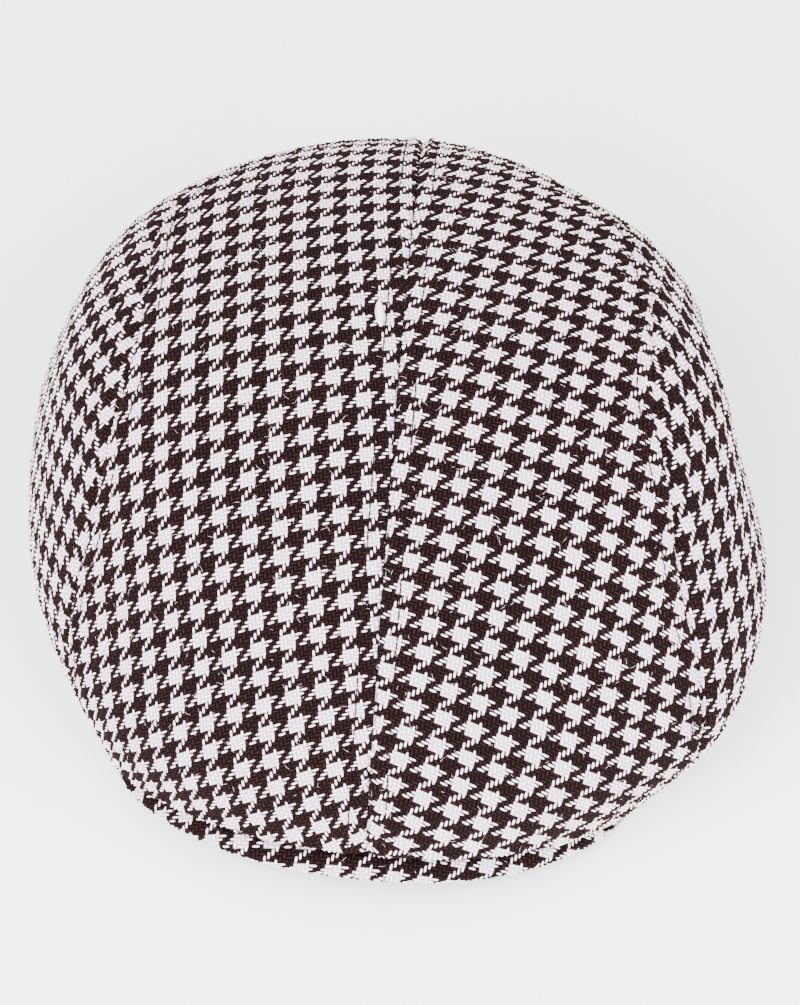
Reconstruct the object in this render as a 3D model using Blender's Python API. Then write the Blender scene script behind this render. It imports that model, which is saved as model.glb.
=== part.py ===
"""A duckbill flat cap: two top panels, two side panels and a covered peak.

Metres, +Z up, the peak towards -Y. The cap rests on the flat turned hem of its side panels at z = 0,
and its origin is at the bottom centre of its bounding box.

The crown is one smooth outer surface. It is drawn through level curves, egg-shaped outlines that run
round the cap at the hem, the belly, the shoulder and the crown, and it closes at the apex. A round map
describes it: the map's rim is the hem, its centre is the apex, its front is the peak side. The seams are
drawn on that map, so neighbouring panels share their edges, and each panel's inner face lies one cloth
thickness inside.
"""
import math

import bpy
import numpy as np

# Crown, measured from the middle of the head opening's width
CROWN_WIDTH = 0.236
CROWN_HEIGHT = 0.113
FRONT_REACH = 0.111
BACK_REACH = 0.130
APEX_SETBACK = 0.016

# Lower edge of the crown, whose front is lifted by the peak under it
HEM_WIDTH = 0.194
HEM_BACK_REACH = 0.117
FRONT_HEM_LIFT = 0.022
HEM_LIFT_EASE = 1.3
HEM_FULL_FRONT = 2.3
HEM_FULL_BACK = 2.1

# Cloth
CLOTH = 0.0020
HEM_FOLD = 0.0040
HEM_FOLD_HEIGHT = 0.014
SEAM_GAP = 0.0003

# Peak, a stiff board covered in the same cloth
PEAK_DEPTH = 0.034
PEAK_MARGIN = 0.0085
PEAK_THICKNESS = 0.0045
PEAK_SLOPE = 24.0
PEAK_CLEARANCE = 0.0004
PEAK_CORNER_DEPTH_SHARE = 0.08
PEAK_CORNER_THICKNESS_SHARE = 0.54
PEAK_RIM_RING = 0.4

# Where the side seams and the peak's corners meet the hem, in degrees from the front
CORNER_ANGLE = 56.0
PEAK_CORNER_ANGLE = 50.0

# How far along the side seam the top panels end and the side panels start, clear of each other's corners
TOP_PANEL_END = 0.992
SIDE_PANEL_START = 0.015

# Level curves between the hem and the apex. Front and back are shares of FRONT_REACH and BACK_REACH, width
# is a share of half CROWN_WIDTH, and the heights at front, side and back are shares of CROWN_HEIGHT. way
# says how far up the curve lies, and fullness is 2 for an ellipse and more for a squarer outline.
LEVELS = [
    dict(name="belly", way=0.22, front=0.95, width=1.00, back=1.00,
         z_front=0.33, z_side=0.25, z_back=0.35, full_front=2.10, full_back=2.10),
    dict(name="shoulder", way=0.52, front=0.69, width=0.895, back=0.80,
         z_front=0.60, z_side=0.68, z_back=0.80, full_front=2.05, full_back=2.00),
    dict(name="crown", way=0.78, front=0.35, width=0.66, back=0.53,
         z_front=0.84, z_side=0.935, z_back=0.965, full_front=2.00, full_back=2.00),
]

# The side seam on the round map, from the hem corner over the shoulder to the centre back: angle in
# degrees from the front, and way up from the hem (0) to the apex (1).
SIDE_SEAM = [
    dict(angle=CORNER_ANGLE, way=0.00),
    dict(angle=50.5, way=0.24),
    dict(angle=52.0, way=0.40),
    dict(angle=54.0, way=0.54),
    dict(angle=59.0, way=0.68),
    dict(angle=72.0, way=0.77),
    dict(angle=90.0, way=0.79),
    dict(angle=112.0, way=0.76),
    dict(angle=134.0, way=0.66),
    dict(angle=158.0, way=0.56),
    dict(angle=180.0, way=0.52),
]

# Mesh fineness
TOP_ROWS = 42
TOP_COLUMNS = 12
SIDE_ROWS = 38
SIDE_COLUMNS = 9
PEAK_ROWS = 44
PEAK_COLUMNS = 6
SIDE_ROW_EASE = 0.8
SHARP_EDGE = 50.0

TWEED_COLOUR = (0.36, 0.29, 0.28, 1.0)
TWEED_ROUGHNESS = 0.92


def natural_spline_weights(knots, at):
    """Weights of each knot's point, for a natural cubic spline read at one place."""
    count = len(knots)
    steps = np.diff(knots)
    system = np.zeros((count, count))
    right = np.zeros((count, count))
    system[0, 0] = 1.0
    system[-1, -1] = 1.0
    for i in range(1, count - 1):
        system[i, i - 1] = steps[i - 1]
        system[i, i] = 2.0 * (steps[i - 1] + steps[i])
        system[i, i + 1] = steps[i]
        right[i, i - 1] = 6.0 / steps[i - 1]
        right[i, i] = -6.0 / steps[i - 1] - 6.0 / steps[i]
        right[i, i + 1] = 6.0 / steps[i]
    bend = np.linalg.solve(system, right)
    i = int(np.clip(np.searchsorted(knots, at) - 1, 0, count - 2))
    width = steps[i]
    b = (at - knots[i]) / width
    a = 1.0 - b
    weights = ((a ** 3 - a) * bend[i] + (b ** 3 - b) * bend[i + 1]) * width ** 2 / 6.0
    weights[i] += a
    weights[i + 1] += b
    return weights


def egg_point(angle, front, width, back, full_f, full_b):
    """Plan position on an egg-shaped outline, at an angle from the front in radians."""
    c = math.cos(angle)
    s = math.sin(angle)
    power = 2.0 / (full_f if c > 0 else full_b)
    middle = (back - front) / 2
    half_length = (back + front) / 2
    x = width * math.copysign(abs(s) ** power, s)
    y = middle - half_length * math.copysign(abs(c) ** power, c)
    return x, y


def hem_point(angle):
    x, y = egg_point(angle, FRONT_REACH, HEM_WIDTH / 2, HEM_BACK_REACH, HEM_FULL_FRONT, HEM_FULL_BACK)
    corner = math.cos(math.radians(CORNER_ANGLE))
    lift = max(0.0, (math.cos(angle) - corner) / (1.0 - corner))
    return np.array([x, y, FRONT_HEM_LIFT * lift ** HEM_LIFT_EASE])


def level_point(level, angle):
    x, y = egg_point(angle, level["front"] * FRONT_REACH, level["width"] * CROWN_WIDTH / 2,
                     level["back"] * BACK_REACH, level["full_front"], level["full_back"])
    end = level["z_front"] if math.cos(angle) > 0 else level["z_back"]
    share = level["z_side"] + (end - level["z_side"]) * math.cos(angle) ** 2
    return np.array([x, y, share * CROWN_HEIGHT])


def crown_point(angle, way):
    """Point of the crown's outer surface. way runs from 0 at the hem to 1 at the apex."""
    apex = np.array([0.0, APEX_SETBACK, CROWN_HEIGHT])
    rising = [hem_point(angle)] + [level_point(level, angle) for level in LEVELS]
    beyond = [level_point(level, angle + math.pi) for level in reversed(LEVELS[1:])]
    points = np.array(rising + [apex] + beyond)
    ways = [level["way"] for level in LEVELS]
    knots = np.array([0.0] + ways + [1.0] + [2.0 - w for w in reversed(ways[1:])])
    return natural_spline_weights(knots, way) @ points


def map_point(angle_degrees, way):
    angle = math.radians(angle_degrees)
    return np.array([math.sin(angle), -math.cos(angle)]) * (1.0 - way)


def surface(place):
    """Outer surface point at a place on the round map."""
    return crown_point(math.atan2(place[0], -place[1]), 1.0 - math.hypot(*place))


def outward(place, step=0.002):
    """Unit normal of the outer surface at a place on the round map."""
    along_x = surface(place + (step, 0)) - surface(place - (step, 0))
    along_y = surface(place + (0, step)) - surface(place - (0, step))
    normal = np.cross(along_x, along_y)
    return normal / np.linalg.norm(normal)


def seam_place(share):
    """Place on the map of the right side seam, from the hem corner (0) to the centre back (1)."""
    places = np.array([map_point(row["angle"], row["way"]) for row in SIDE_SEAM])
    lengths = np.linalg.norm(np.diff(places, axis=0), axis=1)
    knots = np.concatenate([[0.0], np.cumsum(lengths)])
    return natural_spline_weights(knots, share * knots[-1]) @ places


def top_panel_place(across, back):
    """Place on the right top panel: across from centre seam to side seam, back from the front hem."""
    end = seam_place(1.0)
    centre = np.array([0.0, -1.0 + back * (1.0 + end[1])])
    side = seam_place(back)
    arc = map_point(across * CORNER_ANGLE, 0.0)
    front_chord = (1 - across) * map_point(0.0, 0.0) + across * seam_place(0.0)
    return (1 - across) * centre + across * side + (1 - back) ** 3 * (arc - front_chord)


def side_panel_place(down, back):
    """Place on the right side panel: down from the side seam to the hem, back from the hem corner."""
    seam = seam_place(back)
    angle = CORNER_ANGLE + (180.0 - CORNER_ANGLE) * back
    seam_angle = math.degrees(math.atan2(seam[0], -seam[1]))
    reach = (1 - down) * math.hypot(*seam) + down
    turned = seam_angle + (angle - seam_angle) * down
    return map_point(turned, 1.0 - reach)


def pull_in(grid, distance):
    """Move a grid's border inwards, in its own surface, to leave a gap to its neighbours."""
    moved = grid.copy()
    for border, inner in ((0, 1), (-1, -2)):
        step = grid[inner] - grid[border]
        moved[border] += distance * step / np.linalg.norm(step, axis=1, keepdims=True)
    for border, inner in ((0, 1), (-1, -2)):
        step = grid[:, inner] - grid[:, border]
        moved[:, border] += distance * step / np.linalg.norm(step, axis=1, keepdims=True)
    return moved


def solid_from_faces(name, outer, inner, mirror=False):
    """One closed body between two grids of points, its faces pointing out."""
    rows, columns = outer.shape[:2]
    points = np.concatenate([outer.reshape(-1, 3), inner.reshape(-1, 3)])
    if mirror:
        points = points * (-1, 1, 1)
    skin = rows * columns
    faces = []
    for i in range(rows - 1):
        for j in range(columns - 1):
            a = i * columns + j
            quad = [a, a + 1, a + columns + 1, a + columns]
            faces.append(quad)
            faces.append([skin + k for k in reversed(quad)])
    border = list(range(columns))
    border += [i * columns + columns - 1 for i in range(1, rows)]
    border += [(rows - 1) * columns + j for j in range(columns - 2, -1, -1)]
    border += [i * columns for i in range(rows - 2, 0, -1)]
    for a, b in zip(border, border[1:] + border[:1]):
        faces.append([b, a, skin + a, skin + b])
    if mirror:
        faces = [list(reversed(face)) for face in faces]
    mesh = bpy.data.meshes.new(name)
    mesh.from_pydata([tuple(p) for p in points], [], faces)
    mesh.validate()
    mesh.shade_smooth()
    mesh.set_sharp_from_angle(angle=math.radians(SHARP_EDGE))
    piece = bpy.data.objects.new(name, mesh)
    bpy.context.scene.collection.objects.link(piece)
    return piece


def tweed(name):
    material = bpy.data.materials.new(name)
    material.use_nodes = True
    shader = material.node_tree.nodes["Principled BSDF"]
    shader.inputs["Base Color"].default_value = TWEED_COLOUR
    shader.inputs["Roughness"].default_value = TWEED_ROUGHNESS
    shader.inputs["Metallic"].default_value = 0.0
    return material


def finish(piece, middle):
    piece.location.y = -middle
    piece.data.materials.append(tweed(piece.name + "_tweed"))
    return piece


def top_panel(name, mirror, middle):
    """From the centre seam to the side seam, and from the front hem to the centre back."""
    shares_back = np.linspace(0.0, TOP_PANEL_END, TOP_ROWS)
    shares_across = np.linspace(0.0, 1.0, TOP_COLUMNS)
    places = np.array([[top_panel_place(u, w) for u in shares_across] for w in shares_back])
    outer = np.array([[surface(q) for q in row] for row in places])
    normals = np.array([[outward(q) for q in row] for row in places])
    outer = pull_in(outer, SEAM_GAP / 2)
    return finish(solid_from_faces(name, outer, outer - CLOTH * normals, mirror), middle)


def side_panel(name, mirror, middle):
    """From the side seam to the turned hem, whose lower edge is flat where it rests."""
    shares_back = np.linspace(SIDE_PANEL_START, 1.0, SIDE_ROWS)
    shares_down = np.linspace(0.0, 1.0, SIDE_COLUMNS) ** SIDE_ROW_EASE
    places = np.array([[side_panel_place(v, w) for v in shares_down] for w in shares_back])
    outer = np.array([[surface(q) for q in row] for row in places])
    normals = np.array([[outward(q) for q in row] for row in places])
    hem = outer[:, -1].copy()
    outer = pull_in(outer, SEAM_GAP / 2)
    outer[:, -1, 2] = hem[:, 2]
    height = outer[..., 2] - hem[:, None, 2]
    turned = np.clip(1.0 - height / HEM_FOLD_HEIGHT, 0.0, 1.0) ** 2
    thickness = CLOTH + (HEM_FOLD - CLOTH) * turned
    inner = outer - thickness[..., None] * normals
    level = normals[:, -1] * (1, 1, 0)
    level /= np.linalg.norm(level, axis=1, keepdims=True)
    inner[:, -1] = outer[:, -1] - HEM_FOLD * level
    return finish(solid_from_faces(name, outer, inner, mirror), middle)


def peak_row(angle, round_end):
    """Points and normals of the peak's upper face at one angle, from its inner edge to its rim.

    round_end falls from 1 at the middle to 0 at the corners, where the peak is narrow.
    """
    taper = PEAK_CORNER_DEPTH_SHARE + (1.0 - PEAK_CORNER_DEPTH_SHARE) * round_end
    front = map_point(math.degrees(angle), 0.0)
    drop = CLOTH + PEAK_CLEARANCE
    short_way = 0.05
    per_way = np.linalg.norm(surface(front * (1.0 - short_way)) - surface(front)) / short_way
    points = []
    normals = []
    for share in np.linspace(1.0, 0.0, PEAK_COLUMNS):
        place = front * (1.0 - share * PEAK_DEPTH * taper / per_way)
        normals.append(outward(place))
        points.append(surface(place) - drop * normals[-1])
    step = 0.01
    along = hem_point(angle + step) - hem_point(angle - step)
    ahead = np.array([along[1], -along[0], 0.0])
    ahead /= np.linalg.norm(ahead)
    slope = math.radians(PEAK_SLOPE)
    direction = ahead * math.cos(slope) - np.array([0, 0, math.sin(slope)])
    rim_normal = ahead * math.sin(slope) + np.array([0, 0, math.cos(slope)])
    for share in (PEAK_RIM_RING, 1.0):
        points.append(points[PEAK_COLUMNS - 1] + direction * PEAK_MARGIN * taper * share)
        normals.append(rim_normal)
    normals[PEAK_COLUMNS - 1] = (normals[PEAK_COLUMNS - 1] + rim_normal) / 2
    return np.array(points), np.array(normals)


def peak(name, middle):
    """A crescent board under the front hem, following the crown's inner face and standing out past it."""
    half = math.radians(PEAK_CORNER_ANGLE)
    top = []
    bottom = []
    for i in range(PEAK_ROWS):
        share = 2.0 * i / (PEAK_ROWS - 1) - 1.0
        round_end = math.sqrt(1.0 - share ** 2)
        points, normals = peak_row(half * share, round_end)
        thin = PEAK_CORNER_THICKNESS_SHARE
        thick = PEAK_THICKNESS * (thin + (1.0 - thin) * round_end)
        top.append(points)
        bottom.append(points - thick * normals)
    return finish(solid_from_faces(name, np.array(top), np.array(bottom)), middle)


def clear_scene():
    for item in list(bpy.data.objects):
        bpy.data.objects.remove(item, do_unlink=True)


def build():
    clear_scene()
    back = max(crown_point(math.pi, way)[1] for way in np.linspace(0.0, 0.6, 61))
    front = -peak_row(0.0, 1.0)[0][:, 1].min()
    middle = (back - front) / 2
    top_panel("top_panel_right", False, middle)
    top_panel("top_panel_left", True, middle)
    side_panel("side_panel_right", False, middle)
    side_panel("side_panel_left", True, middle)
    peak("peak", middle)


build()
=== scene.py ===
# %% [markdown]
# # A duckbill flat cap in houndstooth tweed
#
# The cap is sewn from two top panels that meet on a centre seam and two side panels that wrap round to the
# back. A covered stiff peak stands out under its front hem. The cloth is a coarse wool tweed, four pale
# threads and four brown ones each way, and every thread can be told apart from the next.
#
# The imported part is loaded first. Its nodes give the true shape of each panel, so everything made below
# starts from them and stays in the same place.

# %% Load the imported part
import math

import bpy
import numpy as np
from mathutils import Matrix, Vector, geometry, kdtree, noise
from mathutils.bvhtree import BVHTree


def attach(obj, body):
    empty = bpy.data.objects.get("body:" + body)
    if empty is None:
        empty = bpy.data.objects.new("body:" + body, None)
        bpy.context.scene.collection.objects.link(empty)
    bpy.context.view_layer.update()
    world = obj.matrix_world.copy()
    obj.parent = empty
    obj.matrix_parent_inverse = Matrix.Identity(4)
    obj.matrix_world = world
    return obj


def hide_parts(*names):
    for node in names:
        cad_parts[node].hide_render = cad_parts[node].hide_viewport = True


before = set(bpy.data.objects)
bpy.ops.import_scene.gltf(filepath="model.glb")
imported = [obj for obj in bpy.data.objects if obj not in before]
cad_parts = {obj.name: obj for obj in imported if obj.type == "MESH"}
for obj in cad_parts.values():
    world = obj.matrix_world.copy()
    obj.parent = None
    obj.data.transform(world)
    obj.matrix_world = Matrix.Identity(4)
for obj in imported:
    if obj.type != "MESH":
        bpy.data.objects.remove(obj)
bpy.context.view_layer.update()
print("nodes:", sorted(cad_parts))

MM = 0.001
TOP_PANELS = ("top_panel_right", "top_panel_left")
SIDE_PANELS = ("side_panel_right", "side_panel_left")

# %% [markdown]
# ## Camera, floor and light
#
# The photograph looks down at the front of the cap from a few degrees to one side, through a long lens. It
# is lit evenly from all round on white, as shop pictures are, so three large soft lamps and a bright world
# do the same here.

# %% Camera
CAMERA_TARGET = Vector((0.0039, -0.0251, 0.0706))
CAMERA_AZIMUTH = math.radians(5.5)
CAMERA_ELEVATION = math.radians(56.0)
CAMERA_DISTANCE = 0.74
SENSOR_WIDTH_MM = 36.0
LENS_MM = 112.8


def add_camera():
    flat = math.cos(CAMERA_ELEVATION)
    way = Vector((math.sin(CAMERA_AZIMUTH) * flat, -math.cos(CAMERA_AZIMUTH) * flat,
                  math.sin(CAMERA_ELEVATION)))
    bpy.ops.object.camera_add(location=CAMERA_TARGET + CAMERA_DISTANCE * way)
    camera = bpy.context.object
    camera.rotation_euler = way.to_track_quat("Z", "Y").to_euler()
    camera.data.sensor_fit = "HORIZONTAL"
    camera.data.sensor_width = SENSOR_WIDTH_MM
    camera.data.lens = LENS_MM
    camera.data.clip_start = 0.01
    bpy.context.scene.camera = camera
    return camera


camera = add_camera()
print("camera at", tuple(round(x, 3) for x in camera.location))

# %% Soft lamps and a bright world
LAMPS = [
    dict(name="key", place=(-0.55, -0.55, 0.95), size=0.9, power=38.0),
    dict(name="fill", place=(0.75, -0.35, 0.75), size=0.9, power=24.0),
    dict(name="front", place=(0.05, -1.1, 0.45), size=0.8, power=17.0),
]
WORLD_STRENGTH = 2.3
LAMP_TARGET = Vector((0.0, 0.0, 0.05))


def add_lamp(name, place, size, power):
    bpy.ops.object.light_add(type="AREA", location=place)
    lamp = bpy.context.object
    lamp.name = name + "_lamp"
    lamp.data.shape = "DISK"
    lamp.data.size = size
    lamp.data.energy = power
    lamp.rotation_euler = (Vector(place) - LAMP_TARGET).to_track_quat("Z", "Y").to_euler()


for lamp in LAMPS:
    add_lamp(**lamp)
world = bpy.data.worlds.new("studio")
world.use_nodes = True
world.node_tree.nodes["Background"].inputs["Color"].default_value = (1.0, 1.0, 1.0, 1.0)
world.node_tree.nodes["Background"].inputs["Strength"].default_value = WORLD_STRENGTH
bpy.context.scene.world = world
print(len(LAMPS), "lamps")

# %% [markdown]
# ## Writing shader maths as Python
#
# A woven check is arithmetic on thread numbers. A small class wraps a node's output, so that an expression
# such as `(warp - weft) % 8` adds its Math nodes by itself. Colours go through Mix nodes instead.

# %% A socket with operators
class Knot:
    """An output socket in a material's node tree, with Python's operators."""

    def __init__(self, tree, socket):
        self.tree = tree
        self.socket = socket

    def node(self, kind, settings=None, out=0, **inputs):
        """Add any node. Settings are set first, then its sockets get values or links."""
        made = self.tree.nodes.new(kind)
        for name, value in (settings or {}).items():
            setattr(made, name, value)
        for name, value in inputs.items():
            socket = made.inputs[int(name[1:])] if name[1:].isdigit() else made.inputs[name.replace("_", " ")]
            if isinstance(value, Knot):
                self.tree.links.new(value.socket, socket)
            else:
                socket.default_value = value
        return Knot(self.tree, made.outputs[out])

    def math(self, operation, a, b=0.0, clamp=False):
        return self.node("ShaderNodeMath", dict(operation=operation, use_clamp=clamp), i0=a, i1=b)

    def __add__(self, other):
        return self.math("ADD", self, other)

    def __sub__(self, other):
        return self.math("SUBTRACT", self, other)

    def __rsub__(self, other):
        return self.math("SUBTRACT", other, self)

    def __mul__(self, other):
        return self.math("MULTIPLY", self, other)

    def __mod__(self, other):
        return self.math("FLOORED_MODULO", self, other)

    def __lt__(self, other):
        return self.math("LESS_THAN", self, other)

    def __ge__(self, other):
        return 1.0 - self.math("LESS_THAN", self, other)

    def floor(self):
        return self.math("FLOOR", self)

    def clamped(self):
        return self.math("ADD", self, 0.0, clamp=True)

    def spread(self, gain, start):
        """Widened round a start, and kept between 0 and 1."""
        return (self * gain - start).clamped()

    def mix(self, low, high):
        """Between two numbers, with this socket as the factor."""
        return low + (high - low) * self

    def colour(self, low, high):
        """Between two colours, with this socket as the factor."""
        return self.node("ShaderNodeMix", dict(data_type="RGBA"), out=2, i0=self, i6=low, i7=high)


def new_material(name):
    """A material with its Principled shader, and a Knot to build on."""
    material = bpy.data.materials.new(name)
    material.use_nodes = True
    shader = material.node_tree.nodes["Principled BSDF"]
    return material, shader, Knot(material.node_tree, None)


def plug(knot, shader, name):
    knot.tree.links.new(knot.socket, shader.inputs[name])


print("shader helpers ready")

# %% [markdown]
# ## The tweed
#
# Houndstooth is a two-and-two twill in four pale and four brown threads. At the crossing of warp i and weft
# j the warp lies on top when (i + 1 - j) mod 4 is 0 or 1, and the colour that shows is that of the thread on
# top. The cloth carries a UV map named weave that counts threads, so one material dresses every panel.
#
# The same rule is used twice: in this material, which colours the cloth itself and paints shade into the gaps
# between its threads, and further down for the raised threads, which are real geometry on the outside.

# %% Tweed colours
PALE_WOOL = (0.920, 0.760, 0.900, 1.0)
CREAM_WOOL = (0.920, 0.760, 0.710, 1.0)
BROWN_WOOL = (0.0085, 0.0038, 0.0042, 1.0)
RED_BROWN_WOOL = (0.0240, 0.0078, 0.0066, 1.0)
# Painted shade: the gaps between threads are coloured much darker than the wool, as shade falls there
PALE_GAP_SHADE = (0.43, 0.37, 0.45, 1.0)
BROWN_GAP_SHADE = (0.0022, 0.0012, 0.0014, 1.0)
TWILL = 4
REPEAT = 8
HALF_REPEAT = 4
WOOL = {"Roughness": 0.9, "Specular IOR Level": 0.03, "Sheen Weight": 0.01, "Sheen Roughness": 0.5}
# How a thread's height falls off to its sides and ends
SIDE_FALL = 7.0
END_FALL = 0.80
# A gain and what is taken off after it: for the height at which a thread's colour shows over the painted gap
# shade, and for the tints
COVER = (1.9, 0.35)
CREAM_TINT = (1.6, 0.45)
RED_TINT = (2.0, 0.6)
FIBRE_HEIGHT = 0.25


def dress_wool(shader):
    """Wool has no gloss of its own, only a faint sheen from its loose fibres."""
    for name, value in WOOL.items():
        shader.inputs[name].default_value = value


def tweed_cloth():
    material, shader, maker = new_material("houndstooth_tweed")
    dress_wool(shader)
    weave = maker.node("ShaderNodeUVMap", dict(uv_map="weave"))
    x = maker.node("ShaderNodeSeparateXYZ", i0=weave)
    y = Knot(maker.tree, x.socket.node.outputs[1])
    warp = x.floor()
    weft = y.floor()
    across_warp = x - warp - 0.5
    across_weft = y - weft - 0.5
    step = (warp + 1.0 - weft) % TWILL
    warp_on_top = step < TWILL / 2
    warp_dark = (warp % REPEAT) >= HALF_REPEAT
    weft_dark = (weft % REPEAT) >= HALF_REPEAT
    dark = warp_on_top.mix(weft_dark, warp_dark)
    side = warp_on_top.mix(across_weft, across_warp)
    along = warp_on_top.mix(across_warp + step - 2.5, across_weft + 0.5 - step)
    roundness = (1.0 - side * SIDE_FALL * side) * (1.0 - along * END_FALL * along)
    cover = roundness.spread(*COVER)
    grain = maker.node("ShaderNodeTexNoise", i0=weave, Scale=0.9, Detail=2.0)
    fibre = maker.node("ShaderNodeTexNoise", i0=weave, Scale=9.0, Detail=3.0)
    pale = grain.spread(*CREAM_TINT).colour(PALE_WOOL, CREAM_WOOL)
    brown = grain.spread(*RED_TINT).colour(BROWN_WOOL, RED_BROWN_WOOL)
    thread = dark.colour(pale, brown)
    # The gaps show the wool beneath, painted darker as shade: near black beside brown threads, grey-lilac
    # between pale ones
    any_dark = (warp_dark + weft_dark).clamped()
    gap_shade = any_dark.colour(PALE_GAP_SHADE, BROWN_GAP_SHADE)
    plug(cover.colour(gap_shade, thread), shader, "Base Color")
    height = roundness + fibre * FIBRE_HEIGHT
    bumped = maker.node("ShaderNodeBump", Strength=0.7, Distance=0.0004, Height=height)
    plug(bumped, shader, "Normal")
    return material


TWEED = tweed_cloth()
print("material:", TWEED.name)

# %% [markdown]
# ## The panels' cloth
#
# Each panel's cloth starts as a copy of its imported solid. Only the faces that look out are kept, smoothed
# by subdivision, and unwrapped: the unwrapped map is the flat piece that a tailor would cut. The weave is
# laid on that flat piece with its threads a little off the seam, as they lie in the photograph.

# %% Working on one piece
THICKEST_CLOTH = 5.0 * MM
MERGE = 0.01 * MM
HEART = Vector((0.0, 0.0, 0.035))
RING = 4


def alone(piece):
    """Select one object and make it active, with everything else deselected."""
    active = bpy.context.object
    if active and active.mode != "OBJECT":
        bpy.ops.object.mode_set(mode="OBJECT")
    bpy.ops.object.select_all(action="DESELECT")
    piece.select_set(True)
    bpy.context.view_layer.objects.active = piece


def copy_of_node(node, name):
    """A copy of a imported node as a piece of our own, its loose triangles merged."""
    alone(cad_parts[node])
    bpy.ops.object.duplicate()
    piece = bpy.context.object
    for key in list(piece.keys()):
        del piece[key]
    piece.parent = None
    piece.matrix_world = Matrix.Identity(4)
    piece.name = name
    piece.data.name = name
    piece.data.materials.clear()
    bpy.ops.mesh.customdata_custom_splitnormals_clear()
    bpy.ops.object.mode_set(mode="EDIT")
    bpy.ops.mesh.select_all(action="SELECT")
    bpy.ops.mesh.remove_doubles(threshold=MERGE)
    bpy.ops.object.mode_set(mode="OBJECT")
    return piece


def read(items, what, width, kind=float):
    """One property of many items as rows of an array."""
    found = np.empty(len(items) * width, kind)
    items.foreach_get(what, found)
    return found.reshape(-1, width)


def points_of(mesh):
    return read(mesh.vertices, "co", 3)


def normals_of(mesh):
    return read(mesh.vertices, "normal", 3)


def move_points(mesh, points):
    mesh.vertices.foreach_set("co", np.ascontiguousarray(points).ravel())
    mesh.update()


def add_maps(mesh, **maps):
    """UV maps from a value at each vertex. The one named OFBake is made the map used for rendering."""
    owners = read(mesh.loops, "vertex_index", 1, int)[:, 0]
    for name, values in maps.items():
        layer = mesh.uv_layers.new(name=name)
        layer.uv.foreach_set("vector", values[owners].ravel())
    mesh.uv_layers["OFBake"].active_render = True


def unit_rows(vectors):
    return vectors / np.linalg.norm(vectors, axis=1, keepdims=True)


def walk(line):
    """How far each place of a line is from its start, along the line."""
    return np.concatenate([[0.0], np.cumsum(np.linalg.norm(np.diff(line, axis=0), axis=1))])


def along_line(line, at):
    """Places at given distances along a line."""
    return np.stack([np.interp(at, walk(line), column) for column in line.T], axis=-1)


def tree_of_places(places):
    tree = kdtree.KDTree(len(places))
    for k, place in enumerate(places):
        tree.insert(place, k)
    tree.balance()
    return tree


def tree_of(mesh):
    return BVHTree.FromPolygons([v.co for v in mesh.vertices], [list(p.vertices) for p in mesh.polygons])


# %% The side that looks out
# A point of the border is a corner where the cosine between its two edges is over this: -1 is straight on
CORNER_TURN = -0.6
SMOOTH_LEVELS = 2


def outer_skin(node, name):
    """Only the outward side of a panel, as quads where its triangles pair up."""
    skin = copy_of_node(node, name)
    tree = tree_of(skin.data)
    for vertex in skin.data.vertices:
        vertex.select = False
    for edge in skin.data.edges:
        edge.select = False
    for face in skin.data.polygons:
        start = face.center - face.normal * MERGE
        wall = tree.ray_cast(start, -face.normal, THICKEST_CLOTH)[3]
        looks_out = face.normal.dot(face.center - HEART) > 0
        underneath = all(skin.data.vertices[v].co.z < MERGE for v in face.vertices)
        face.select = wall is None or not looks_out or underneath
    bpy.context.tool_settings.mesh_select_mode = (False, False, True)
    bpy.ops.object.mode_set(mode="EDIT")
    bpy.ops.mesh.delete(type="FACE")
    bpy.ops.mesh.select_all(action="SELECT")
    bpy.ops.mesh.tris_convert_to_quads()
    bpy.ops.uv.unwrap(method="MINIMUM_STRETCH", margin=0.0)
    bpy.ops.object.mode_set(mode="OBJECT")
    return skin


def border_edges(mesh):
    counts = {}
    for face in mesh.polygons:
        for key in face.edge_keys:
            counts[key] = counts.get(key, 0) + 1
    return [key for key, count in counts.items() if count == 1]


def keep_corners(mesh):
    """Crease the points where the border turns sharply, so that smoothing leaves each corner in place."""
    points = points_of(mesh)
    ways = {}
    for a, b in border_edges(mesh):
        way = (points[b] - points[a]) / np.linalg.norm(points[b] - points[a])
        ways.setdefault(a, []).append(way)
        ways.setdefault(b, []).append(-way)
    creases = np.zeros(len(points))
    for vertex, found in ways.items():
        creases[vertex] = len(found) == 2 and found[0] @ found[1] > CORNER_TURN
    held = mesh.attributes.new("crease_vert", "FLOAT", "POINT")
    held.data.foreach_set("value", creases)
    return int(creases.sum())


def smooth_skin(skin):
    alone(skin)
    fine = skin.modifiers.new("fine", "SUBSURF")
    fine.levels = SMOOTH_LEVELS
    fine.render_levels = SMOOTH_LEVELS
    fine.boundary_smooth = "PRESERVE_CORNERS"
    bpy.ops.object.modifier_apply(modifier=fine.name)
    bpy.ops.object.shade_smooth()


skins = {}
for node in TOP_PANELS + SIDE_PANELS:
    skins[node] = outer_skin(node, node + "_cloth")
    coarse = len(skins[node].data.polygons)
    triangles = sum(len(p.vertices) == 3 for p in skins[node].data.polygons)
    corners = keep_corners(skins[node].data)
    smooth_skin(skins[node])
    print(node, coarse, "faces,", triangles, "triangles,", corners, "corners, smoothed to",
          len(skins[node].data.polygons))

# %% Borders, and which neighbour each one meets
TOUCH = 1.2 * MM
SAMPLES_PER_EDGE = 4
node_trees = {node: tree_of(piece.data) for node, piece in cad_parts.items()}


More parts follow.
